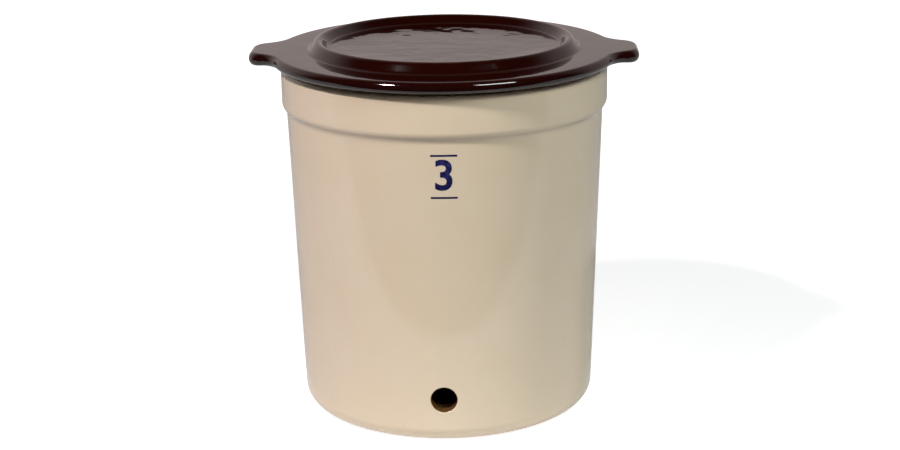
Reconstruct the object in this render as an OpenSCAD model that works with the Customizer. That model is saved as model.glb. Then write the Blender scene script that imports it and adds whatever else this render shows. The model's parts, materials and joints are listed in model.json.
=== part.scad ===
// Stoneware beverage crock with a lift-off lid.
// Millimetres, +Z up. The origin is the centre of the foot, the spigot hole
// faces -Y and the ears of the lid lie along X.

/* [Crock] */
// Height from the foot to the top of the rim
crock_h = 292.5; // [220:0.5:360]
// Diameter of the foot, measured as if its edge were square
foot_d = 245; // [220:0.5:260]
// Radius of the rounded edge round the foot
foot_round = 14.5; // [6:0.5:20]
// Thickness of the wall, measured level
wall_t = 12.5; // [9:0.5:16]
// Thickness of the floor
floor_t = 16; // [12:0.5:22]
// Radius of the inside corner between floor and wall
floor_round = 28; // [14:1:40]

/* [Collar] */
// Diameter of the collar band
collar_d = 270; // [264:1:300]
// Height of the straight part of the collar band
collar_h = 31.5; // [20:0.5:50]
// How far the collar stands out from the body
collar_step = 3.8; // [2:0.1:6]
// Height of the curved step under the collar
collar_step_h = 10.5; // [6:0.5:16]
// Radius of the outer edge of the rim
rim_round = 6.5; // [2:0.5:7]
// Radius of the inner edge of the rim
mouth_round = 4; // [2:0.5:5]

/* [Spigot hole] */
// Diameter of the hole
hole_d = 21; // [16:0.5:30]
// Height of the lowest point of the hole above the inside floor
hole_rise = 11.5; // [8:0.5:30]

/* [Lid] */
// Thickness of the lid, which has a fully round edge
lid_t = 9.5; // [7:0.5:13]
// How far the edge of the lid stands out past the collar
lid_overhang = 7.5; // [2:0.5:12]
// Depth of the locating ring under the lid
locator_h = 10; // [6:0.5:16]
// Width of the locating ring
locator_w = 10; // [8:0.5:16]
// Radius of the lower edges of the locating ring
locator_round = 3; // [1:0.5:4]
// Clearance between the locating ring and the mouth of the crock
mouth_gap = 2.5; // [1:0.25:5]

/* [Lid ring] */
// Diameter of the raised ring along its crest
ring_d = 207; // [150:1:215]
// Height of the raised ring above the lid
ring_h = 8.5; // [5:0.5:10]
// Slope of the two walls of the raised ring, in degrees
ring_slope = 55; // [45:1:60]
// Radius of the rounded crest of the raised ring
ring_crest = 4.5; // [2:0.5:5]
// Radius of the fillets at the two feet of the raised ring
ring_fillet = 4; // [2:0.5:5]

/* [Lid ears] */
// How far each ear reaches past the edge of the lid
ear_out = 18; // [14:0.5:30]
// Width across the tip of an ear
ear_w = 57; // [44:1:70]
// Radius of the two corners of an ear
ear_corner = 18; // [10:0.5:22]
// Radius of the hollow sweep from an ear to the round edge
ear_blend = 30; // [20:5:140]

/* [Hidden] */
$fn = 128;

// Steps in a quarter turn of a rounded edge
edge_steps = 8;
// Degrees for each step round the outline of the lid
outline_step = 4;

// Crock: the wall leans out evenly from the foot to the step under the collar
foot_r = foot_d / 2;
collar_r = collar_d / 2;
body_top_r = collar_r - collar_step;
collar_z = crock_h - collar_h;
step_z = collar_z - collar_step_h;
wall_slope = (body_top_r - foot_r) / step_z;
wall_lean = atan(wall_slope);
hole_z = floor_t + hole_rise + hole_d / 2;
// The hole is cut from the axis to well past the wall
hole_cut = max(foot_r, collar_r) + wall_t;

// The step under the collar is two equal arcs, one hollow and one round
step_turn = 2 * atan(collar_step / collar_step_h);
step_round = collar_step_h / (2 * sin(step_turn));

// Lid: it rests on the rim, and its locating ring stays clear of the mouth
seat_z = crock_h;
lid_top_z = seat_z + lid_t;
lid_r = collar_r + lid_overhang;
lid_edge = lid_t / 2;
locator_z = seat_z - locator_h;
locator_r = inner_r(locator_z) - mouth_gap;
// Depth by which the raised ring and the locating ring are let into the lid
root = lid_t / 3;

// Raised ring: a round crest and two leaning walls, each with a fillet at its foot
ring_rounds = ring_crest + ring_fillet;
ring_wall = (ring_h - ring_rounds * (1 - cos(ring_slope))) / sin(ring_slope);
ring_reach = ring_rounds * sin(ring_slope) + ring_wall * cos(ring_slope);
crest_z = lid_top_z + ring_h - ring_crest;
fillet_z = lid_top_z + ring_fillet;

// Ears: corner, hollow sweep and round edge are arcs that meet smoothly
corner_c = [lid_r + ear_out - ear_corner, ear_w / 2 - ear_corner];
blend_c = corner_blend(corner_c);
blend_dir = atan2(blend_c[1], blend_c[0]);
corner_end = atan2(blend_c[1] - corner_c[1], blend_c[0] - corner_c[0]);

// Outside and inside radius of the body at a height
function outer_r(z) = foot_r + wall_slope * z;
function inner_r(z) = outer_r(z) - wall_t;

// Points of an arc about c from angle a to angle b, both ends included
function arc(c, r, a, b, steps) =
    [for (i = [0 : steps]) c + r * [cos(a + (b - a) * i / steps), sin(a + (b - a) * i / steps)]];

// Centre of the sweep that touches the round edge and the ear corner about c
function corner_blend(c) =
    let (
        reach = norm(c),
        far = lid_r + ear_blend,
        near = ear_corner + ear_blend,
        turn = acos((far * far + reach * reach - near * near) / (2 * far * reach))
    )
    far * [cos(atan2(c[1], c[0]) + turn), sin(atan2(c[1], c[0]) + turn)];

function steps_for(turn) = ceil(abs(turn) / outline_step);

// A list without its first point
function tail(points) = [for (i = [1 : len(points) - 1]) points[i]];

// Outline of the lid from the +X ear to the -X ear, drawn in from its edge by inset
function lid_half(inset) =
    let (
        corner = arc(corner_c, ear_corner - inset, 0, corner_end, edge_steps),
        blend = arc(blend_c, ear_blend + inset, corner_end + 180, blend_dir + 180,
            steps_for(corner_end - blend_dir)),
        edge = arc([0, 0], lid_r - inset, blend_dir, 90, steps_for(90 - blend_dir)),
        side = concat(corner, tail(blend), tail(edge)),
        last = len(side) - 1
    )
    concat(side, [for (i = [1 : last]) [-side[last - i][0], side[last - i][1]]]);

function lid_outline(inset) =
    let (half = lid_half(inset))
    concat(half, -half);

// Section of the crock, from the axis out along the foot and back along the floor
function crock_section() =
    let (
        foot_x = outer_r(foot_round) - foot_round / cos(wall_lean),
        floor_z = floor_t + floor_round,
        floor_x = inner_r(floor_z) - floor_round / cos(wall_lean),
        mouth_z = crock_h - mouth_round,
        mouth_x = inner_r(mouth_z) + mouth_round
    )
    concat(
        [[0, 0]],
        arc([foot_x, foot_round], foot_round, -90, -wall_lean, edge_steps),
        arc([body_top_r + step_round, step_z], step_round, 180, 180 - step_turn, edge_steps),
        tail(arc([collar_r - step_round, collar_z], step_round, -step_turn, 0, edge_steps)),
        arc([collar_r - rim_round, crock_h - rim_round], rim_round, 0, 90, edge_steps),
        arc([mouth_x, mouth_z], mouth_round, 90, 180, edge_steps),
        arc([floor_x, floor_z], floor_round, -wall_lean, -90, edge_steps),
        [[0, floor_t]]
    );

// Section of the raised ring, let into the lid
function ring_section() =
    let (
        mid = ring_d / 2,
        wall_turn = 90 - ring_slope
    )
    concat(
        [[mid + ring_reach, lid_top_z - root]],
        arc([mid + ring_reach, fillet_z], ring_fillet, -90, -90 - ring_slope, edge_steps),
        arc([mid, crest_z], ring_crest, wall_turn, 180 - wall_turn, 2 * edge_steps),
        arc([mid - ring_reach, fillet_z], ring_fillet, -wall_turn, -90, edge_steps),
        [[mid - ring_reach, lid_top_z - root]]
    );

// Section of the locating ring, let into the lid
function locator_section() =
    let (
        round_z = locator_z + locator_round,
        inside_r = locator_r - locator_w
    )
    concat(
        [[inside_r, seat_z + root]],
        arc([inside_r + locator_round, round_z], locator_round, 180, 270, edge_steps),
        arc([locator_r - locator_round, round_z], locator_round, 270, 360, edge_steps),
        [[locator_r, seat_z + root]]
    );

// The lid's plate: its outline carried round a half-round edge from below to above
module plate() {
    turns = [for (i = [-edge_steps / 2 : edge_steps / 2]) i * 180 / edge_steps];
    rings = [for (turn = turns)
        [for (p = lid_outline(lid_edge * (1 - cos(turn))))
            [p[0], p[1], seat_z + lid_edge * (1 + sin(turn))]]];
    count = len(rings[0]);
    last = len(rings) - 1;
    sides = [for (k = [0 : last - 1], i = [0 : count - 1], half = [0, 1])
        let (
            next = (i + 1) % count,
            low = k * count,
            high = low + count
        )
        half == 0 ? [low + i, high + i, high + next] : [low + i, high + next, low + next]];
    under = [[for (i = [0 : count - 1]) i]];
    top = [[for (i = [count - 1 : -1 : 0]) last * count + i]];
    polyhedron([for (ring = rings) each ring], concat(under, sides, top));
}

module crock() {
    color("#d9c8ab")
    difference() {
        rotate_extrude() polygon(crock_section());
        translate([0, 0, hole_z]) rotate([90, 0, 0]) cylinder(d = hole_d, h = hole_cut);
    }
}

module lid() {
    color("#3b1a10") {
        plate();
        rotate_extrude() polygon(ring_section());
        rotate_extrude() polygon(locator_section());
    }
}

crock();
lid();
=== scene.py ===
"""Glazed stoneware beverage crock with a loose eared lid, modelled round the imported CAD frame."""

import json
import math

import bmesh
import bpy
from bpy.props import FloatProperty, FloatVectorProperty, IntProperty, PointerProperty, StringProperty
from mathutils import Matrix, Vector

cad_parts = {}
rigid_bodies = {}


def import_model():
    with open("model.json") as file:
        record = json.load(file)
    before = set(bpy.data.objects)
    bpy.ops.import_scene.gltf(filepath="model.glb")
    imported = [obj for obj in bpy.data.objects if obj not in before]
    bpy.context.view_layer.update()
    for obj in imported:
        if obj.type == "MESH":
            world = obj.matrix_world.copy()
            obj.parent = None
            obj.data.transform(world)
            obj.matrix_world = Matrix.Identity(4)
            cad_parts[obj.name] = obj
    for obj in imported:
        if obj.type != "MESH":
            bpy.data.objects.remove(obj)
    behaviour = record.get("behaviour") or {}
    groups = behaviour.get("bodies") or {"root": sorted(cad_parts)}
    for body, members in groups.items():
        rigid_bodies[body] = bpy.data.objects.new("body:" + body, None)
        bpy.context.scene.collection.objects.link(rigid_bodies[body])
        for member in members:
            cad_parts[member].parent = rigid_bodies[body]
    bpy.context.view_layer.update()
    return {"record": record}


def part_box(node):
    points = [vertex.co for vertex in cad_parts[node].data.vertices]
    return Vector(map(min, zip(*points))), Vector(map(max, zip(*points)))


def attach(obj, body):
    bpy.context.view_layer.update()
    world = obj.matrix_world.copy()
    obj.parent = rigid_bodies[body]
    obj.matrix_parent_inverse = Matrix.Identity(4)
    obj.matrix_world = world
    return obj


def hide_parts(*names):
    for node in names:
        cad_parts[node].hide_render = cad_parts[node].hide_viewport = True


bl_info = {
    "name": "Beverage crock",
    "version": (1, 0, 0),
    "blender": (4, 5, 0),
    "location": "View3D > Sidebar > Crock",
    "description": "Models a glazed stoneware crock, its loose lid and its capacity mark",
    "category": "Mesh",
}

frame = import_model()

crock_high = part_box("crock")[1]
lid_low, lid_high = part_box("lid")
spigot_hole = next(m for m in frame["record"]["mounts"] if m["name"] == "spigot_hole")

MM = 0.001
UPRIGHT = (0, 0, 1)
# Spin turns a section anticlockwise about this axis, seen from the front
SECTION_AXIS = (0, 1, 0)
# Spin turns an outline anticlockwise about this axis, seen from above
OUTLINE_AXIS = (0, 0, -1)
# Vertices closer than this are one vertex
SAME_PLACE = 1e-6
# Refraction of a fired glaze
GLAZE_IOR = 1.5
WHITE = (1, 1, 1, 1)


def linear(red, green, blue):
    """A display colour, 0 to 255, as the light values that Blender works in."""
    values = [channel / 255 for channel in (red, green, blue)]
    return tuple(v / 12.92 if v <= 0.04045 else ((v + 0.055) / 1.055) ** 2.4 for v in values)


def size_prop(name, description, default):
    return FloatProperty(name=name, description=description, default=default, min=0, precision=4, unit="LENGTH")


def angle_prop(name, description, degrees):
    return FloatProperty(name=name, description=description, default=math.radians(degrees), unit="ROTATION")


def watt_prop(name, description, watts):
    return FloatProperty(name=name, description=description, default=watts, min=0, unit="POWER")


def colour_prop(name, description, colour):
    return FloatVectorProperty(
        name=name, description=description, default=linear(*colour), min=0, max=1, subtype="COLOR"
    )


class CrockShape(bpy.types.PropertyGroup):
    """Sizes of the crock"""

    height: size_prop("Height", "From the foot to the rim", crock_high.z)
    collar_radius: size_prop("Collar radius", "Outside radius of the collar band", crock_high.x)
    foot_radius: size_prop("Foot radius", "Radius of the foot as if its edge were square", 122.5 * MM)
    foot_round: size_prop("Foot rounding", "Radius of the rounded edge round the foot", 14.5 * MM)
    wall: size_prop("Wall", "Thickness of the wall, measured level", 12.5 * MM)
    floor: size_prop("Floor", "Thickness of the floor", 16 * MM)
    floor_round: size_prop("Inside corner", "Radius between the floor and the wall", 28 * MM)
    collar_height: size_prop("Collar height", "Height of the straight part of the collar", 31.5 * MM)
    collar_step: size_prop("Collar step", "How far the collar stands out from the body", 3.8 * MM)
    collar_step_height: size_prop("Step height", "Height of the curved step under the collar", 10.5 * MM)
    rim_round: size_prop("Rim rounding", "Radius of the outer edge of the rim", 6.5 * MM)
    mouth_round: size_prop("Mouth rounding", "Radius of the inner edge of the rim", 4 * MM)
    hole_radius: size_prop("Hole radius", "Radius of the spigot hole", spigot_hole["dims"]["r_mm"] * MM)
    hole_height: size_prop("Hole height", "Height of the middle of the spigot hole", spigot_hole["pos_m"][2])
    hole_lip: size_prop("Hole lip", "Rounding of the glaze at the two mouths of the hole", 1.2 * MM)
    unevenness: size_prop("Unevenness", "How far the turned wall wanders from true", 0.3 * MM)
    turns: IntProperty(name="Turns", description="Faces round the crock", default=256, min=24)


class LidShape(bpy.types.PropertyGroup):
    """Sizes of the lid"""

    seat: size_prop("Seat", "Height of the underside of the plate", crock_high.z)
    crest: size_prop("Crest", "Height of the top of the raised ring", lid_high.z)
    radius: size_prop("Radius", "Radius of the round edge", lid_high.y)
    reach: size_prop("Reach", "From the middle to the tip of an ear", lid_high.x)
    ring_height: size_prop("Ring height", "How far the ring stands above the plate", 8.5 * MM)
    ring_crest: size_prop("Ring crest", "Radius of the rounded crest of the ring", 4.5 * MM)
    ring_slope: angle_prop("Ring slope", "Slope of the two walls of the ring", 55)
    ring_radius: size_prop("Ring radius", "Radius of the ring along its crest", 103.5 * MM)
    ring_fillet: size_prop("Ring fillet", "Radius at the two feet of the ring", 4 * MM)
    panel_rise: size_prop("Panel rise", "How far the panel rises towards the ring", 1.8 * MM)
    panel_sweep: size_prop("Panel sweep", "Width over which the panel rises to the ring", 40 * MM)
    locator_foot: size_prop("Locator foot", "Height of the lower edge of the locating ring", lid_low.z)
    locator_radius: size_prop("Locator radius", "Outside radius of the locating ring", 117.3 * MM)
    locator_width: size_prop("Locator width", "Width of the locating ring", 10 * MM)
    locator_round: size_prop("Locator rounding", "Radius of the edges of the locating ring", 3 * MM)
    ear_width: size_prop("Ear width", "Width across the tip of an ear", 57 * MM)
    ear_corner: size_prop("Ear corner", "Radius of the corners of an ear", 18 * MM)
    ear_blend: size_prop("Ear blend", "Radius of the hollow sweep beside an ear", 30 * MM)
    ear_bulge: size_prop("Ear bulge", "How much thicker the ears are below", 1.7 * MM)
    unevenness: size_prop("Unevenness", "Depth of the waves in the glaze on top", 0.22 * MM)
    turns: IntProperty(name="Turns", description="Faces round the lid", default=256, min=24)


class MarkShape(bpy.types.PropertyGroup):
    """Sizes of the capacity mark"""

    numeral: StringProperty(name="Numeral", description="Capacity that the mark states", default="3")
    height: size_prop("Height", "Height of the middle of the mark", 225.5 * MM)
    aside: size_prop("Aside", "How far the mark sits to the right of the hole", 2.9 * MM)
    size: size_prop("Size", "Letter size of the numeral", 34 * MM)
    weight: size_prop("Weight", "How much the strokes are thickened", 0.7 * MM)
    rule_width: size_prop("Rule width", "Length of the rules above and below", 21 * MM)
    rule_thickness: size_prop("Rule thickness", "Thickness of the rules", 1.5 * MM)
    rule_offset: size_prop("Rule offset", "From the middle of the mark to a rule", 17 * MM)
    proud: size_prop("Proud", "How far the ink stands above the wall", 0.08 * MM)


class GlazeColours(bpy.types.PropertyGroup):
    """Colours of the glazes and the clay"""

    cream: colour_prop("Cream", "Glaze on the outside of the crock", (218, 200, 173))
    cream_thick: colour_prop("Thick cream", "Cream glaze where it lies thicker", (220, 203, 178))
    iron: colour_prop("Iron", "Specks of iron in the cream glaze", (142, 112, 78))
    clay: colour_prop("Clay", "Bare fired clay at the foot", (190, 152, 122))
    inside: colour_prop("Inside", "Brown glaze inside the crock", (90, 62, 32))
    inside_thin: colour_prop("Thin inside", "Brown glaze where it lies thin", (116, 83, 47))
    chocolate: colour_prop("Chocolate", "Dark glaze of the lid", (27, 4, 2))
    # Partly painted light: the lighter brown along the ring's crest also stands in for a reflection there
    chocolate_break_and_sheen: colour_prop("Thin chocolate", "Lid glaze where it breaks over an edge", (58, 24, 12))
    cobalt: colour_prop("Cobalt", "Ink of the capacity mark", (24, 24, 66))
    cobalt_thin: colour_prop("Thin cobalt", "Ink where it is thin", (46, 50, 104))


class Studio(bpy.types.PropertyGroup):
    """Camera and light"""

    distance: size_prop("Distance", "From the upright axis to the camera", 1.5756)
    height: size_prop("Height", "Height of the camera", 0.6141)
    azimuth: angle_prop("Azimuth", "Turn of the camera round the crock", 1.87)
    yaw: angle_prop("Yaw", "Sideways aim of the camera", -0.109)
    pitch: angle_prop("Pitch", "Downward aim of the camera", 16.471)
    roll: angle_prop("Roll", "Tilt of the camera", 0.835)
    lens: FloatProperty(name="Lens", description="Focal length in millimetres", default=77.42, min=1)
    key_power: watt_prop("Key", "Power of the small lamp on the left", 33)
    strip_power: watt_prop("Strip", "Power of the strip on the right", 13.4)
    fill_power: watt_prop("Fill", "Power of the high fill in front", 3.6)
    back_power: watt_prop("Back", "Power of the lamp behind, which lights the back alone", 0.25)


class BeverageCrock(bpy.types.PropertyGroup):
    """Everything that the crock is made from"""

    crock: PointerProperty(type=CrockShape)
    lid: PointerProperty(type=LidShape)
    mark: PointerProperty(type=MarkShape)
    colours: PointerProperty(type=GlazeColours)
    studio: PointerProperty(type=Studio)


def make_active(piece):
    bpy.ops.object.select_all(action="DESELECT")
    piece.select_set(True)
    bpy.context.view_layer.objects.active = piece


def new_piece(name, point):
    """Starts a piece from a plane drawn in to one vertex, and leaves it in edit mode."""
    bpy.ops.object.select_all(action="DESELECT")
    bpy.ops.mesh.primitive_plane_add(size=0.01, location=(0, 0, 0))
    piece = bpy.context.object
    piece.name = name
    piece.data.name = name
    bpy.ops.object.mode_set(mode="EDIT")
    bpy.ops.mesh.select_mode(type="VERT")
    bpy.ops.mesh.select_all(action="SELECT")
    bpy.ops.mesh.merge(type="CENTER")
    bpy.ops.transform.translate(value=point)
    return piece


class Line:
    """A line of vertices that is drawn on from its last one, in edit mode."""

    def __init__(self, start, axis):
        self.end = Vector(start)
        self.axis = axis

    def line_to(self, point, parts=1):
        step = (Vector(point) - self.end) / parts
        for _ in range(parts):
            bpy.ops.mesh.extrude_vertices_move(TRANSFORM_OT_translate={"value": step})
        self.end = Vector(point)

    def arc(self, centre, degrees, steps):
        """Draws on round a centre, anticlockwise where degrees is positive."""
        turn = math.radians(degrees)
        bpy.ops.mesh.spin(steps=steps, angle=turn, center=centre, axis=self.axis, use_auto_merge=False)
        self.end = Vector(centre) + Matrix.Rotation(-turn, 3, Vector(self.axis)) @ (self.end - Vector(centre))


def turn_section(turns):
    """Turns the section that was just drawn once round the upright axis."""
    bpy.ops.mesh.select_linked(delimit=set())
    bpy.ops.mesh.spin(steps=turns, angle=math.tau, center=(0, 0, 0), axis=UPRIGHT)


def close_shell():
    bpy.ops.mesh.select_all(action="SELECT")
    bpy.ops.mesh.remove_doubles(threshold=SAME_PLACE)
    bpy.ops.mesh.normals_make_consistent(inside=False)


def choose(piece, kind, test):
    """Selects the vertices, edges or faces that pass a test, in edit mode."""
    bpy.ops.mesh.select_mode(type=kind)
    bpy.ops.mesh.select_all(action="DESELECT")
    mesh = bmesh.from_edit_mesh(piece.data)
    parts = {"VERT": mesh.verts, "EDGE": mesh.edges, "FACE": mesh.faces}[kind]
    chosen = [part for part in parts if test(part)]
    if not chosen:
        raise RuntimeError(f"nothing to select on {piece.name}")
    for part in chosen:
        part.select_set(True)
    bmesh.update_edit_mesh(piece.data)


def middle(edge):
    return (edge.verts[0].co + edge.verts[1].co) / 2


def add_modifier(piece, kind, **settings):
    """Adds a modifier, sets it and applies it."""
    make_active(piece)
    bpy.ops.object.modifier_add(type=kind)
    modifier = piece.modifiers[-1]
    for name, value in settings.items():
        setattr(modifier, name, value)
    bpy.ops.object.modifier_apply(modifier=modifier.name)


def wave_texture(name, spacing):
    """Soft lumps of the hand and the kiln, about spacing apart."""
    texture = bpy.data.textures.new(name, "CLOUDS")
    texture.noise_scale = spacing
    texture.noise_depth = 1
    return texture


def smooth_over(piece):
    make_active(piece)
    bpy.ops.object.shade_smooth()
    add_modifier(piece, "WEIGHTED_NORMAL", keep_sharp=True)


def glaze_faces(piece, index, test):
    """Gives the faces that pass a test the glaze in that slot of the piece."""
    choose(piece, "FACE", test)
    piece.active_material_index = index
    bpy.ops.object.material_slot_assign()


def wall_slope(shape):
    step_foot = shape.height - shape.collar_height - shape.collar_step_height
    return (shape.collar_radius - shape.collar_step - shape.foot_radius) / step_foot


def outer_radius(shape, z):
    return shape.foot_radius + wall_slope(shape) * z


def inner_radius(shape, z):
    return outer_radius(shape, z) - shape.wall


def draw_crock_section(shape):
    """Draws half the section, out along the foot, up, over the rim and down to the inside floor."""
    lean = math.atan(wall_slope(shape))
    lean_turn = 90 - math.degrees(lean)
    foot_x = outer_radius(shape, shape.foot_round) - shape.foot_round / math.cos(lean)
    collar_z = shape.height - shape.collar_height
    step_z = collar_z - shape.collar_step_height
    body_top = shape.collar_radius - shape.collar_step
    step_turn = 2 * math.atan(shape.collar_step / shape.collar_step_height)
    step_round = shape.collar_step_height / (2 * math.sin(step_turn))
    rim_z = shape.height - shape.rim_round
    mouth_z = shape.height - shape.mouth_round
    mouth_x = inner_radius(shape, mouth_z) + shape.mouth_round
    corner_z = shape.floor + shape.floor_round
    corner_x = inner_radius(shape, corner_z) - shape.floor_round / math.cos(lean)
    inside_foot = (
        corner_x + shape.floor_round * math.cos(lean), 0, corner_z - shape.floor_round * math.sin(lean)
    )

    section = Line((0, 0, 0), SECTION_AXIS)
    section.line_to((foot_x, 0, 0), 10)
    section.arc((foot_x, 0, shape.foot_round), lean_turn, 12)
    section.line_to((body_top, 0, step_z), 40)
    section.arc((body_top + step_round, 0, step_z), -math.degrees(step_turn), 10)
    section.arc((shape.collar_radius - step_round, 0, collar_z), math.degrees(step_turn), 10)
    section.line_to((shape.collar_radius, 0, rim_z), 6)
    section.arc((shape.collar_radius - shape.rim_round, 0, rim_z), 90, 10)
    section.line_to((mouth_x, 0, shape.height), 2)
    section.arc((mouth_x, 0, mouth_z), 90, 8)
    section.line_to(inside_foot, 40)
    section.arc((corner_x, 0, corner_z), -lean_turn, 12)
    section.line_to((0, 0, shape.floor), 10)


def cut_hole(crock, shape):
    """Drills the wall a lip too wide, then rolls the glaze in at both mouths and walls the bore."""
    inside = shape.hole_radius + shape.hole_lip
    middle_y = -(outer_radius(shape, shape.hole_height) - shape.wall / 2)
    centre = (0, 0, shape.hole_height)
    bpy.ops.object.select_all(action="DESELECT")
    bpy.ops.mesh.primitive_cylinder_add(
        vertices=96, radius=inside, depth=shape.wall * 4,
        location=(0, middle_y, shape.hole_height), rotation=(math.pi / 2, 0, 0),
    )
    drill = bpy.context.object
    add_modifier(crock, "BOOLEAN", operation="DIFFERENCE", solver="EXACT", object=drill)
    bpy.data.objects.remove(drill)

    def from_axis(point):
        return math.hypot(point.x, point.z - shape.hole_height)

    bpy.ops.object.mode_set(mode="EDIT")
    choose(crock, "FACE", lambda face: face.calc_center_median().y < 0 and abs(face.normal.y) < 0.1
           and from_axis(face.calc_center_median()) < inside)
    bpy.ops.mesh.delete(type="FACE")
    lip_steps = 6
    for inward in (1, -1):
        choose(crock, "EDGE", lambda edge: edge.is_boundary and (middle_y - middle(edge).y) * inward > 0)
        radius, depth = inside, 0
        for step in range(1, lip_steps + 1):
            turn = math.radians(90 * step / lip_steps)
            next_radius = inside - shape.hole_lip * math.sin(turn)
            next_depth = shape.hole_lip * (1 - math.cos(turn))
            bpy.ops.mesh.extrude_region_move(
                TRANSFORM_OT_translate={"value": (0, inward * (next_depth - depth), 0)}
            )
            shrink = next_radius / radius
            bpy.ops.transform.resize(value=(shrink, 1, shrink), center_override=centre)
            radius, depth = next_radius, next_depth
    choose(crock, "EDGE", lambda edge: edge.is_boundary)
    bpy.ops.mesh.bridge_edge_loops()
    close_shell()
    bpy.ops.object.mode_set(mode="OBJECT")


class CROCK_OT_make_crock(bpy.types.Operator):
    """Turn the crock, drill its spigot hole and glaze it cream outside and brown inside"""

    bl_idname = "crock.make_crock"
    bl_label = "Make crock"

    def execute(self, context):
        shape = context.scene.beverage_crock.crock
        colours = context.scene.beverage_crock.colours
        crock = new_piece("crock_body", (0, 0, 0))
        draw_crock_section(shape)
        turn_section(shape.turns)
        close_shell()
        bpy.ops.object.mode_set(mode="OBJECT")
        add_modifier(crock, "DISPLACE", texture=wave_texture("turned wall", 90 * MM), texture_coords="LOCAL",
                     strength=shape.unevenness, mid_level=1)
        cut_hole(crock, shape)
        smooth_over(crock)

        crock.data.materials.append(cream_glaze(colours))
        crock.data.materials.append(inside_glaze(colours))
        mouth = inner_radius(shape, shape.height) + shape.mouth_round / 2
        bore = shape.hole_radius + shape.hole_lip / 3

        def is_inside(face):
            point = face.calc_center_median()
            radius = math.hypot(point.x, point.y)
            in_bore = point.y < 0 and math.hypot(point.x, point.z - shape.hole_height) < bore
            in_vessel = radius < min(mouth, outer_radius(shape, point.z) - shape.wall / 2)
            return in_bore or (in_vessel and point.z > shape.floor / 2)

        bpy.ops.object.mode_set(mode="EDIT")
        glaze_faces(crock, 1, is_inside)
        bpy.ops.object.mode_set(mode="OBJECT")
        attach(crock, "crock")
        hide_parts("crock")
        return {"FINISHED"}


def draw_lid_quarter(shape):
    """Draws a quarter of the outline, from the tip of the right ear to the back of the round edge."""
    corner = Vector((shape.reach - shape.ear_corner, shape.ear_width / 2 - shape.ear_corner, shape.seat))
    span = math.hypot(corner.x, corner.y)
    far = shape.radius + shape.ear_blend
    near = shape.ear_corner + shape.ear_blend
    blend_angle = math.atan2(corner.y, corner.x) + math.acos(
        (far * far + span * span - near * near) / (2 * far * span)
    )
    blend = Vector((far * math.cos(blend_angle), far * math.sin(blend_angle), shape.seat))
    corner_turn = math.degrees(math.atan2(blend.y - corner.y, blend.x - corner.x))
    blend_turn = math.degrees(blend_angle)
    tip_steps, corner_steps, blend_steps = 3, 12, 11
    edge_steps = shape.turns // 4 - tip_steps - corner_steps - blend_steps
    quarter = Line((shape.reach, 0, shape.seat), OUTLINE_AXIS)
    quarter.line_to((shape.reach, corner.y, shape.seat), tip_steps)
    quarter.arc(corner, corner_turn, corner_steps)
    quarter.arc(blend, blend_turn - corner_turn, blend_steps)
    quarter.arc((0, 0, shape.seat), 90 - blend_turn, edge_steps)


def line_points(start, end, steps):
    """Points along a straight part of a section, as radius and height, without its start."""
    return [tuple(a + (b - a) * step / steps for a, b in zip(start, end)) for step in range(1, steps + 1)]


def arc_points(centre, radius, first, last, steps):
    """Points along an arc of a section between two angles, as radius and height, without its start."""
    angles = [math.radians(first + (last - first) * step / steps) for step in range(1, steps + 1)]
    return [(centre[0] + radius * math.cos(angle), centre[1] + radius * math.sin(angle)) for angle in angles]


def sweep_points(edge, end, rise, steps):
    """Points along a shallow sweep from a radius down by a rise to its level end, without its start."""
    shares = [step / steps for step in range(1, steps + 1)]
    return [(edge + (end[0] - edge) * share, end[1] + rise * (1 - share) ** 2) for share in shares]


def lid_top_section(shape, top, edge_radius):
    """The top from the edge of its flat in over the raised ring to the middle of the panel."""
    both = shape.ring_crest + shape.ring_fillet
    rise, run = math.sin(shape.ring_slope), math.cos(shape.ring_slope)
    wall = (shape.ring_height - both * (1 - run)) / rise
    reach = both * rise + wall * run
    outer = shape.ring_radius + reach
    inner = shape.ring_radius - reach + shape.panel_rise * run / rise
    crest_z, fillet_z = shape.crest - shape.ring_crest, top + shape.ring_fillet
    degrees = math.degrees(shape.ring_slope)
    wall_foot, wall_head = fillet_z - shape.ring_fillet * run, crest_z + shape.ring_crest * run
    head_offset = shape.ring_crest * rise
    outer_foot = (outer - shape.ring_fillet * rise, wall_foot)
    outer_head = (shape.ring_radius + head_offset, wall_head)
    inner_head = (shape.ring_radius - head_offset, wall_head)
    inner_foot = (inner + shape.ring_fillet * rise, wall_foot + shape.panel_rise)
    sweep_turn = math.atan(2 * shape.panel_rise / shape.panel_sweep)
    sweep_rise = shape.panel_rise + shape.ring_fillet * (1 - math.cos(sweep_turn))
    sweep_edge = inner + shape.ring_fillet * math.sin(sweep_turn)
    panel = (sweep_edge - shape.panel_sweep, top)
    panel_loops = 16
    return (
        line_points((edge_radius, top), (outer, top), 8)
        + arc_points((outer, fillet_z), shape.ring_fillet, -90, -90 - degrees, 8)
        + line_points(outer_foot, outer_head, 4)
        + arc_points((shape.ring_radius, crest_z), shape.ring_crest, 90 - degrees, 90 + degrees, 16)
        + line_points(inner_head, inner_foot, 4)
        + arc_points((inner, fillet_z + shape.panel_rise), shape.ring_fillet, degrees - 90,
                     math.degrees(sweep_turn) - 90, 8)
        + sweep_points(sweep_edge, panel, sweep_rise, 12)
        + line_points(panel, (panel[0] / panel_loops, top), panel_loops - 1)
    )


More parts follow.
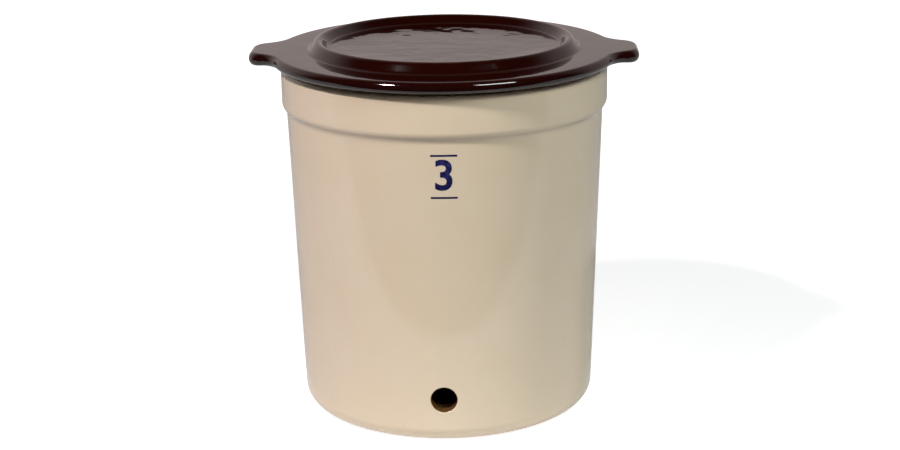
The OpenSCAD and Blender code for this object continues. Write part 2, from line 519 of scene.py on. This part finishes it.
def lid_underside_section(shape, edge_radius):
    """The underside from the edge of its flat in round the locating ring to the middle."""
    outer, inner = shape.locator_radius, shape.locator_radius - shape.locator_width
    rounding = shape.locator_round
    low, high = shape.locator_foot + rounding, shape.seat - rounding
    middle_loops = 14
    return (
        line_points((edge_radius, shape.seat), (outer + rounding, shape.seat), 3)
        + arc_points((outer + rounding, high), rounding, 90, 180, 6)
        + line_points((outer, high), (outer, low), 1)
        + arc_points((outer - rounding, low), rounding, 0, -90, 6)
        + line_points((outer - rounding, shape.locator_foot), (inner + rounding, shape.locator_foot), 2)
        + arc_points((inner + rounding, low), rounding, -90, -180, 6)
        + line_points((inner, low), (inner, high), 1)
        + arc_points((inner - rounding, high), rounding, 0, 90, 6)
        + line_points((inner - rounding, shape.seat), (inner / middle_loops, shape.seat), middle_loops - 1)
    )


def draw_in(lid, level, edge_radius, section):
    """Rounds the open edge of the plate at a level off to a circle and draws it in along a section."""
    choose(lid, "EDGE", lambda edge: edge.is_boundary and abs(middle(edge).z - level) < 0.1 * MM)
    bpy.ops.mesh.extrude_region_move(TRANSFORM_OT_translate={"value": (0, 0, 0)})
    bpy.ops.transform.tosphere(value=1, center_override=(0, 0, level))
    vertex = next(v for v in bmesh.from_edit_mesh(lid.data).verts if v.select)
    radius, z = vertex.co.xy.length, level
    shrink = edge_radius / radius
    bpy.ops.transform.resize(value=(shrink, shrink, 1), center_override=(0, 0, level))
    radius = edge_radius
    for next_radius, next_z in section:
        bpy.ops.mesh.extrude_region_move(TRANSFORM_OT_translate={"value": (0, 0, next_z - z)})
        shrink = next_radius / radius
        bpy.ops.transform.resize(value=(shrink, shrink, 1), center_override=(0, 0, next_z))
        radius, z = next_radius, next_z
    bpy.ops.mesh.extrude_region_move(TRANSFORM_OT_translate={"value": (0, 0, 0)})
    bpy.ops.mesh.merge(type="CENTER")


def ease(value, low, high):
    """0 below low, 1 above high and smooth between."""
    share = min(max((value - low) / (high - low), 0), 1)
    return share * share * (3 - 2 * share)


def weigh(piece, name, amount):
    """A vertex group that holds each vertex by an amount worked out from its place."""
    group = piece.vertex_groups.new(name=name)
    for vertex in piece.data.vertices:
        group.add([vertex.index], amount(vertex.co), "REPLACE")
    return group.name


class CROCK_OT_make_lid(bpy.types.Operator):
    """Cut the lid's outline, round its edge, raise its ring and glaze it"""

    bl_idname = "crock.make_lid"
    bl_label = "Make lid"

    def execute(self, context):
        shape = context.scene.beverage_crock.lid
        colours = context.scene.beverage_crock.colours
        top = shape.crest - shape.ring_height
        thickness = top - shape.seat

        lid = new_piece("lid_body", (shape.reach, 0, shape.seat))
        draw_lid_quarter(shape)
        bpy.ops.object.mode_set(mode="OBJECT")
        add_modifier(lid, "MIRROR", use_axis=(True, True, False), merge_threshold=1e-5)
        bpy.ops.object.mode_set(mode="EDIT")
        bpy.ops.mesh.select_all(action="SELECT")
        bpy.ops.mesh.edge_face_add()
        bpy.ops.mesh.extrude_region_move(TRANSFORM_OT_translate={"value": (0, 0, thickness)})
        close_shell()
        choose(lid, "EDGE", lambda edge: abs(edge.verts[0].co.z - edge.verts[1].co.z) < thickness / 2)
        # Just under half the thickness, so that the two rounded edges do not meet in one line
        bpy.ops.mesh.bevel(offset=thickness * 0.495, segments=10, profile=0.5, affect="EDGES")
        choose(lid, "FACE", lambda face: len(face.verts) > 4)
        bpy.ops.mesh.delete(type="FACE")

        # The flats are round from well inside the rounded edge
        edge_radius = shape.radius - 1.3 * thickness
        draw_in(lid, top, edge_radius, lid_top_section(shape, top, edge_radius))
        draw_in(lid, shape.seat, edge_radius, lid_underside_section(shape, edge_radius))
        close_shell()
        bpy.ops.object.mode_set(mode="OBJECT")
        ear_root = shape.reach - shape.ear_corner
        underside = weigh(lid, "ear underside", lambda place: ease(abs(place.x), ear_root, shape.reach)
                          * ease(top - place.z, 0, thickness))
        add_modifier(lid, "DISPLACE", direction="Z", strength=-shape.ear_bulge, mid_level=0,
                     vertex_group=underside)
        glazed = weigh(lid, "glazed top", lambda place: ease(place.z, shape.seat, top)
                       * ease(edge_radius - place.xy.length, 0, shape.ring_fillet * 4))
        add_modifier(lid, "DISPLACE", texture=wave_texture("glaze waves", 34 * MM), texture_coords="LOCAL",
                     direction="Z", strength=shape.unevenness, mid_level=1, vertex_group=glazed)
        smooth_over(lid)
        lid.data.materials.append(chocolate_glaze(colours, top, shape))
        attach(lid, "lid")
        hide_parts("lid")
        return {"FINISHED"}


class CROCK_OT_make_mark(bpy.types.Operator):
    """Print the plain capacity numeral, with a rule above and below, on the front of the crock"""

    bl_idname = "crock.make_mark"
    bl_label = "Make capacity mark"

    def execute(self, context):
        shape = context.scene.beverage_crock.mark
        crock_shape = context.scene.beverage_crock.crock
        colours = context.scene.beverage_crock.colours
        # The mark is laid out upright, clear of the collar, and then pressed back on to the wall
        front = -(crock_shape.collar_radius + 10 * MM)
        facing = (math.pi / 2, 0, 0)
        flatten = shape.rule_thickness / shape.rule_width
        bpy.ops.object.select_all(action="DESELECT")
        bpy.ops.object.text_add(location=(shape.aside, front, shape.height), rotation=facing)
        numeral = bpy.context.object
        numeral.data.body = shape.numeral
        numeral.data.size = shape.size
        numeral.data.offset = shape.weight
        # A finer curve would fold over itself in the notch of the thickened numeral
        numeral.data.resolution_u = 5
        numeral.data.align_x = "CENTER"
        numeral.data.align_y = "CENTER"
        bpy.ops.object.convert(target="MESH")
        mark = bpy.context.object
        mark.name = "capacity_mark"
        mark.data.name = "capacity_mark"
        bpy.ops.object.transform_apply(location=True, rotation=True, scale=True)

        bpy.ops.object.mode_set(mode="EDIT")
        bpy.ops.mesh.select_all(action="SELECT")
        bpy.ops.mesh.remove_doubles(threshold=SAME_PLACE)
        bpy.ops.mesh.quads_convert_to_tris()
        bpy.ops.mesh.subdivide(number_cuts=1)
        for side in (-1, 1):
            level = shape.height + side * shape.rule_offset
            bpy.ops.mesh.select_all(action="DESELECT")
            bpy.ops.mesh.primitive_grid_add(
                x_subdivisions=16, y_subdivisions=1, size=shape.rule_width,
                location=(shape.aside, front, level), rotation=facing,
            )
            bpy.ops.transform.resize(value=(1, 1, flatten), center_override=(shape.aside, front, level))
        bpy.ops.object.mode_set(mode="OBJECT")
        crock = bpy.data.objects["crock_body"]
        add_modifier(mark, "SHRINKWRAP", target=crock, wrap_method="PROJECT", use_project_y=True,
                     use_positive_direction=True, use_negative_direction=False, offset=shape.proud)
        add_modifier(mark, "SOLIDIFY", thickness=shape.proud * 3, offset=-1)
        bpy.ops.object.shade_flat()
        mark.data.materials.append(cobalt_ink(colours))
        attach(mark, "crock")
        return {"FINISHED"}


def add_group_socket(tree, name, in_out, kind, default=None):
    socket = tree.interface.new_socket(name=name, in_out=in_out, socket_type=kind)
    if default is not None:
        socket.default_value = default


def start_group(name, inputs, outputs):
    """An empty node group with its sockets, or None where it exists already."""
    if name in bpy.data.node_groups:
        return None
    tree = bpy.data.node_groups.new(name, "ShaderNodeTree")
    add_group_socket(tree, "Place", "INPUT", "NodeSocketVector")
    for socket, default in inputs.items():
        add_group_socket(tree, socket, "INPUT", "NodeSocketFloat", default)
    for socket in outputs:
        add_group_socket(tree, socket, "OUTPUT", "NodeSocketFloat")
    return tree


def add_node(tree, kind, values=None, **settings):
    """Adds a node, with its plain settings and the values of its unlinked sockets."""
    node = tree.nodes.new(kind)
    for name, value in settings.items():
        setattr(node, name, value)
    for socket, value in (values or {}).items():
        node.inputs[socket].default_value = value
    return node


def join(tree, source, target):
    tree.links.new(source, target)


def math_node(tree, operation, first, second=None):
    """A Math node whose inputs are sockets or plain numbers."""
    node = add_node(tree, "ShaderNodeMath", operation=operation)
    for index, value in enumerate((first, second)):
        if value is None:
            continue
        if isinstance(value, (int, float)):
            node.inputs[index].default_value = value
        else:
            join(tree, value, node.inputs[index])
    return node.outputs[0]


def noise_at(tree, place, scale, detail=2, roughness=0.5):
    """Noise at a place, where scale is a socket or a number of lumps in a metre."""
    noise = add_node(tree, "ShaderNodeTexNoise", {"Detail": detail, "Roughness": roughness})
    join(tree, place, noise.inputs["Vector"])
    if isinstance(scale, (int, float)):
        noise.inputs["Scale"].default_value = scale
    else:
        join(tree, scale, noise.inputs["Scale"])
    return noise.outputs["Fac"]


def glaze_skin():
    """Group: the height of a fired glaze, with slow waves and a fine orange peel."""
    name = "glaze skin"
    sizes = {"Wave spacing": 0.03, "Wave depth": 0.0001, "Peel spacing": 0.004, "Peel depth": 0.00001}
    tree = start_group(name, sizes, ["Height"])
    if tree:
        given = add_node(tree, "NodeGroupInput").outputs
        waves = noise_at(tree, given["Place"], math_node(tree, "DIVIDE", 1, given["Wave spacing"]), 1)
        peel = noise_at(tree, given["Place"], math_node(tree, "DIVIDE", 1, given["Peel spacing"]), 2)
        height = math_node(
            tree, "ADD",
            math_node(tree, "MULTIPLY", waves, given["Wave depth"]),
            math_node(tree, "MULTIPLY", peel, given["Peel depth"]),
        )
        join(tree, height, add_node(tree, "NodeGroupOutput").inputs["Height"])
    return bpy.data.node_groups[name]


def glaze_mottle():
    """Group: soft patches where a glaze lies thicker."""
    name = "glaze mottle"
    tree = start_group(name, {"Patch size": 0.05, "Low": 0.35, "High": 0.7}, ["Thick"])
    if tree:
        given = add_node(tree, "NodeGroupInput").outputs
        patches = noise_at(tree, given["Place"], math_node(tree, "DIVIDE", 1, given["Patch size"]), 4, 0.6)
        spread = add_node(tree, "ShaderNodeMapRange", interpolation_type="SMOOTHSTEP")
        join(tree, patches, spread.inputs["Value"])
        join(tree, given["Low"], spread.inputs["From Min"])
        join(tree, given["High"], spread.inputs["From Max"])
        join(tree, spread.outputs["Result"], add_node(tree, "NodeGroupOutput").inputs["Thick"])
    return bpy.data.node_groups[name]


def kiln_specks():
    """Group: round specks of iron, each of its own size."""
    name = "kiln specks"
    tree = start_group(name, {"Spacing": 0.012, "Largest": 0.0007}, ["Speck"])
    if tree:
        given = add_node(tree, "NodeGroupInput").outputs
        cells = add_node(tree, "ShaderNodeTexVoronoi", {"Randomness": 1}, feature="F1")
        join(tree, given["Place"], cells.inputs["Vector"])
        join(tree, math_node(tree, "DIVIDE", 1, given["Spacing"]), cells.inputs["Scale"])
        lot = add_node(tree, "ShaderNodeSeparateColor")
        join(tree, cells.outputs["Color"], lot.inputs["Color"])
        # Each cell's own lot, cubed, leaves few specks near the largest size
        reach = math_node(tree, "DIVIDE", given["Largest"], given["Spacing"])
        radius = math_node(tree, "MULTIPLY", math_node(tree, "POWER", lot.outputs["Red"], 3), reach)
        edge = math_node(tree, "SUBTRACT", 1, math_node(tree, "DIVIDE", cells.outputs["Distance"], radius))
        speck = add_node(tree, "ShaderNodeClamp")
        join(tree, math_node(tree, "MULTIPLY", edge, 2), speck.inputs["Value"])
        join(tree, speck.outputs["Result"], add_node(tree, "NodeGroupOutput").inputs["Speck"])
    return bpy.data.node_groups[name]


def place_group(tree, group, place, **values):
    """Puts a group into a material with its own values, and returns its one output."""
    node = add_node(tree, "ShaderNodeGroup")
    node.node_tree = group
    join(tree, place, node.inputs["Place"])
    for name, value in values.items():
        node.inputs[name.replace("_", " ").capitalize()].default_value = value
    return node.outputs[0]


def mix_colour(tree, amount, first, second):
    """A colour mix whose ends are colours or sockets."""
    node = add_node(tree, "ShaderNodeMix", data_type="RGBA")
    join(tree, amount, node.inputs["Factor"])
    for socket, value in ((node.inputs[6], first), (node.inputs[7], second)):
        if isinstance(value, bpy.types.NodeSocket):
            join(tree, value, socket)
        else:
            socket.default_value = (*value, 1)
    return node.outputs[2]


def spread_between(tree, value, low, high, at_low, at_high):
    """A value carried smoothly from one range to another."""
    node = add_node(
        tree, "ShaderNodeMapRange",
        {"From Min": low, "From Max": high, "To Min": at_low, "To Max": at_high},
        interpolation_type="SMOOTHSTEP",
    )
    join(tree, value, node.inputs["Value"])
    return node.outputs["Result"]


def start_glaze(name, roughness):
    """A material with the place on its piece and its glossy shader."""
    material = bpy.data.materials.new(name)
    material.use_nodes = True
    tree = material.node_tree
    shader = tree.nodes["Principled BSDF"]
    shader.inputs["Roughness"].default_value = roughness
    shader.inputs["IOR"].default_value = GLAZE_IOR
    place = add_node(tree, "ShaderNodeTexCoord").outputs["Object"]
    return material, tree, shader, place


def radius_at(tree, place):
    """The distance of a place from the upright axis."""
    level = add_node(tree, "ShaderNodeVectorMath", {1: (1, 1, 0)}, operation="MULTIPLY")
    join(tree, place, level.inputs[0])
    from_axis = add_node(tree, "ShaderNodeVectorMath", operation="LENGTH")
    join(tree, level.outputs["Vector"], from_axis.inputs[0])
    return from_axis.outputs["Value"]


def raise_skin(tree, shader, height):
    """Bumps the shader by a height in metres."""
    bump = add_node(tree, "ShaderNodeBump", {"Strength": 1, "Distance": 1})
    join(tree, height, bump.inputs["Height"])
    join(tree, bump.outputs["Normal"], shader.inputs["Normal"])


def cream_glaze(colours):
    """Glossy cream glaze with soft mottling, iron specks, turning lines and a bare foot."""
    glaze_roughness, clay_roughness = 0.1, 0.8
    speck_strength = 0.28
    clay_line, clay_wander = 0.8 * MM, 3 * MM
    line_depth = 0.02 * MM
    material, tree, shader, place = start_glaze("cream glaze", glaze_roughness)
    axes = add_node(tree, "ShaderNodeSeparateXYZ")
    join(tree, place, axes.inputs["Vector"])

    thick = place_group(tree, glaze_mottle(), place, patch_size=0.05, low=0.3, high=0.75)
    colour = mix_colour(tree, thick, colours.cream, colours.cream_thick)
    speck = place_group(tree, kiln_specks(), place, spacing=0.011, largest=0.001)
    colour = mix_colour(tree, math_node(tree, "MULTIPLY", speck, speck_strength), colour, colours.iron)

    wander = math_node(tree, "MULTIPLY", noise_at(tree, place, 55, 3), -clay_wander)
    foot_line = math_node(tree, "ADD", axes.outputs["Z"], wander)
    bare = spread_between(tree, foot_line, -0.2 * MM, clay_line, 1, 0)
    colour = mix_colour(tree, bare, colour, colours.clay)
    join(tree, colour, shader.inputs["Base Color"])
    join(tree, spread_between(tree, bare, 0, 1, glaze_roughness, clay_roughness), shader.inputs["Roughness"])

    # Long noise round the wall and short noise up it makes the lines of turning
    turning = add_node(tree, "ShaderNodeMapping", {"Scale": (3, 3, 260)})
    join(tree, place, turning.inputs["Vector"])
    lines = math_node(tree, "MULTIPLY", noise_at(tree, turning.outputs["Vector"], 1, 2), line_depth)
    skin = place_group(tree, glaze_skin(), place, wave_spacing=0.03, wave_depth=0.00008,
                       peel_spacing=0.006, peel_depth=0.000012)
    raise_skin(tree, shader, math_node(tree, "ADD", lines, skin))
    return material


def inside_glaze(colours):
    """Brown glaze of the inside and the bore."""
    material, tree, shader, place = start_glaze("inside glaze", 0.25)
    thick = place_group(tree, glaze_mottle(), place, patch_size=0.025, low=0.3, high=0.7)
    join(tree, mix_colour(tree, thick, colours.inside_thin, colours.inside), shader.inputs["Base Color"])
    skin = place_group(tree, glaze_skin(), place, wave_spacing=0.02, wave_depth=0.0002,
                       peel_spacing=0.005, peel_depth=0.00003)
    raise_skin(tree, shader, skin)
    return material


def chocolate_glaze(colours, top, shape):
    """Dark, glossy, wavy glaze that breaks to a warmer brown along the crest of the ring; that warmer brown is
    partly a painted reflection.
    """
    ripple_depth, ripples_per_metre, calm_edge = 0.4 * MM, 60, 12 * MM
    material, tree, shader, place = start_glaze("chocolate glaze", 0.06)
    axes = add_node(tree, "ShaderNodeSeparateXYZ")
    join(tree, place, axes.inputs["Vector"])
    # Lighter brown high on the ring: partly glaze thinning over the crest, partly a painted reflection
    crest = spread_between(tree, axes.outputs["Z"], top + shape.ring_height * 0.8, shape.crest, 0, 1)
    patches = place_group(tree, glaze_mottle(), place, patch_size=0.02, low=0.4, high=0.8)
    thin = math_node(tree, "MULTIPLY", crest, patches)
    join(tree, mix_colour(tree, thin, colours.chocolate, colours.chocolate_break_and_sheen), shader.inputs["Base Color"])

    panel = shape.ring_radius - shape.ring_crest - shape.ring_fillet
    on_panel = spread_between(tree, radius_at(tree, place), panel - calm_edge, panel, 1, 0)
    on_top = spread_between(tree, axes.outputs["Z"], shape.seat, top, 0, ripple_depth)
    depth = math_node(tree, "MULTIPLY", on_panel, on_top)
    ripples = math_node(tree, "MULTIPLY", noise_at(tree, place, ripples_per_metre, 1), depth)
    skin = place_group(tree, glaze_skin(), place, wave_spacing=0.025, wave_depth=0.00012,
                       peel_spacing=0.005, peel_depth=0.000006)
    raise_skin(tree, shader, math_node(tree, "ADD", ripples, skin))
    return material


def cobalt_ink(colours):
    """Cobalt ink under the glaze, a little uneven."""
    material, tree, shader, place = start_glaze("cobalt ink", 0.12)
    thick = place_group(tree, glaze_mottle(), place, patch_size=0.004, low=0.25, high=0.6)
    join(tree, mix_colour(tree, thick, colours.cobalt_thin, colours.cobalt), shader.inputs["Base Color"])
    return material


def pale_floor():
    """A white floor that lights the foot, stays white to the camera and keeps the crock's shadow."""
    # The glow that every ray meets, by the foot and beyond it, and what the camera alone sees on top of it
    foot_glow, floor_glow = 0.29, 0.13
    near_white, far_white = 0.575, 0.9
    material = bpy.data.materials.new("pale floor")
    material.use_nodes = True
    tree = material.node_tree
    tree.nodes.clear()
    path = add_node(tree, "ShaderNodeLightPath")
    cloth = add_node(tree, "ShaderNodeBsdfDiffuse", {"Color": (0.62, 0.62, 0.62, 1)})
    glow = add_node(tree, "ShaderNodeEmission", {"Color": WHITE})
    radius = radius_at(tree, add_node(tree, "ShaderNodeTexCoord").outputs["Object"])
    to_all = spread_between(tree, radius, 0.12, 0.18, foot_glow, floor_glow)
    whiter = spread_between(tree, radius, 0.35, 1.1, near_white, far_white)
    to_camera = math_node(tree, "MULTIPLY", path.outputs["Is Camera Ray"], whiter)
    join(tree, math_node(tree, "ADD", to_camera, to_all), glow.inputs["Strength"])
    both = add_node(tree, "ShaderNodeAddShader")
    join(tree, cloth.outputs[0], both.inputs[0])
    join(tree, glow.outputs[0], both.inputs[1])
    join(tree, both.outputs[0], add_node(tree, "ShaderNodeOutputMaterial").inputs["Surface"])
    return material


def studio_world():
    """White to the camera, and in the gloss a pale backdrop behind and a dark room in front and above."""
    front_shade, back_shade, ceiling_shade, unmirrored = 0.03, 0.7, 0.2, 0.1
    left_tint, right_tint = (0.98, 0.84, 0.81), (0.68, 0.605, 0.575)
    world = bpy.data.worlds.new("studio")
    bpy.context.scene.world = world
    world.use_nodes = True
    tree = world.node_tree
    tree.nodes.clear()
    direction = add_node(tree, "ShaderNodeSeparateXYZ")
    join(tree, add_node(tree, "ShaderNodeTexCoord").outputs["Generated"], direction.inputs["Vector"])
    backdrop = spread_between(tree, direction.outputs["Y"], 0, 0.5, front_shade, back_shade)
    ceiling = spread_between(tree, direction.outputs["Z"], 0.4, 0.85, 1, ceiling_shade)
    side = spread_between(tree, direction.outputs["X"], -0.8, 0.8, 0, 1)
    tint = mix_colour(tree, side, left_tint, right_tint)
    room = add_node(tree, "ShaderNodeBackground")
    join(tree, tint, room.inputs["Color"])
    path = add_node(tree, "ShaderNodeLightPath")
    mirrored = spread_between(tree, path.outputs["Is Glossy Ray"], 0, 1, unmirrored, 1)
    shade = math_node(tree, "MULTIPLY", backdrop, ceiling)
    join(tree, math_node(tree, "MULTIPLY", shade, mirrored), room.inputs["Strength"])
    white = add_node(tree, "ShaderNodeBackground", {"Color": WHITE, "Strength": 1})
    seen = add_node(tree, "ShaderNodeMixShader")
    join(tree, path.outputs["Is Camera Ray"], seen.inputs[0])
    join(tree, room.outputs[0], seen.inputs[1])
    join(tree, white.outputs[0], seen.inputs[2])
    join(tree, seen.outputs[0], add_node(tree, "ShaderNodeOutputWorld").inputs["Surface"])


def add_softbox(name, place, width, height, power, colour):
    """A rectangular lamp that looks at the middle of the crock and keeps out of the picture itself."""
    aim = Vector((0, 0, 0.2))
    turn = (aim - Vector(place)).to_track_quat("-Z", "Y").to_euler()
    bpy.ops.object.select_all(action="DESELECT")
    bpy.ops.object.light_add(type="AREA", location=place, rotation=turn)
    lamp = bpy.context.object
    lamp.name = name
    lamp.data.shape = "RECTANGLE"
    lamp.data.size = width
    lamp.data.size_y = height
    lamp.data.energy = power
    lamp.data.color = colour
    lamp.visible_camera = False
    return lamp


class CROCK_OT_set_stage(bpy.types.Operator):
    """Lay the floor, hang the lamps and set up the camera"""

    bl_idname = "crock.set_stage"
    bl_label = "Set stage"

    def execute(self, context):
        studio = context.scene.beverage_crock.studio
        front, back, side = -0.335, 2.0, 1.6
        below_foot = -0.2 * MM
        bpy.ops.object.select_all(action="DESELECT")
        bpy.ops.mesh.primitive_plane_add(size=1, location=(0, (front + back) / 2, below_foot))
        floor = context.object
        floor.name = "floor"
        floor.scale = (2 * side, back - front, 1)
        bpy.ops.object.transform_apply(location=True, rotation=True, scale=True)
        floor.data.materials.append(pale_floor())

        studio_world()
        add_softbox("left key", (-0.87, -0.93, 1.62), 0.24, 0.1, studio.key_power, (1, 0.932, 0.959))
        add_softbox("right strip", (0.73, -0.87, 1.33), 0.6, 0.35, studio.strip_power, (0.893, 1, 0.989))
        high_fill = add_softbox("high fill", (0.25, -1.25, 1.1), 0.7, 0.7, studio.fill_power, (1, 0.95, 0.93))
        back_fill = add_softbox("back fill", (0, 1.3, 0.45), 0.3, 0.3, studio.back_power, (1, 0.96, 0.93))
        back_fill.data.spread = math.radians(30)
        for fill in (high_fill, back_fill):
            fill.visible_glossy = False

        turn = (
            Matrix.Rotation(studio.azimuth + studio.yaw, 4, "Z")
            @ Matrix.Rotation(math.pi / 2 - studio.pitch, 4, "X")
            @ Matrix.Rotation(-studio.roll, 4, "Z")
        )
        aside, ahead = math.sin(studio.azimuth), -math.cos(studio.azimuth)
        place = (studio.distance * aside, studio.distance * ahead, studio.height)
        bpy.ops.object.select_all(action="DESELECT")
        bpy.ops.object.camera_add(location=place, rotation=turn.to_euler())
        camera = context.object
        camera.data.lens = studio.lens
        camera.data.sensor_width = 36
        camera.data.sensor_fit = "HORIZONTAL"
        context.scene.camera = camera
        context.scene.view_settings.view_transform = "Standard"
        return {"FINISHED"}


class CROCK_PT_sidebar(bpy.types.Panel):
    """Steps and sizes of the beverage crock"""

    bl_idname = "CROCK_PT_sidebar"
    bl_label = "Beverage crock"
    bl_space_type = "VIEW_3D"
    bl_region_type = "UI"
    bl_category = "Crock"

    def draw(self, context):
        settings = context.scene.beverage_crock
        for operator, group in (
            (CROCK_OT_make_crock, settings.crock),
            (CROCK_OT_make_lid, settings.lid),
            (CROCK_OT_make_mark, settings.mark),
            (CROCK_OT_set_stage, settings.studio),
        ):
            box = self.layout.box()
            box.operator(operator.bl_idname)
            for name in group.__annotations__:
                box.prop(group, name)
        box = self.layout.box()
        for name in settings.colours.__annotations__:
            box.prop(settings.colours, name)


CLASSES = (
    CrockShape, LidShape, MarkShape, GlazeColours, Studio, BeverageCrock,
    CROCK_OT_make_crock, CROCK_OT_make_lid, CROCK_OT_make_mark, CROCK_OT_set_stage, CROCK_PT_sidebar,
)


def register():
    for item in CLASSES:
        bpy.utils.register_class(item)
    bpy.types.Scene.beverage_crock = PointerProperty(type=BeverageCrock)


def unregister():
    del bpy.types.Scene.beverage_crock
    for item in reversed(CLASSES):
        bpy.utils.unregister_class(item)


def main():
    register()
    bpy.ops.crock.make_crock()
    bpy.ops.crock.make_lid()
    bpy.ops.crock.make_mark()
    bpy.ops.crock.set_stage()


if __name__ == "__main__":
    main()
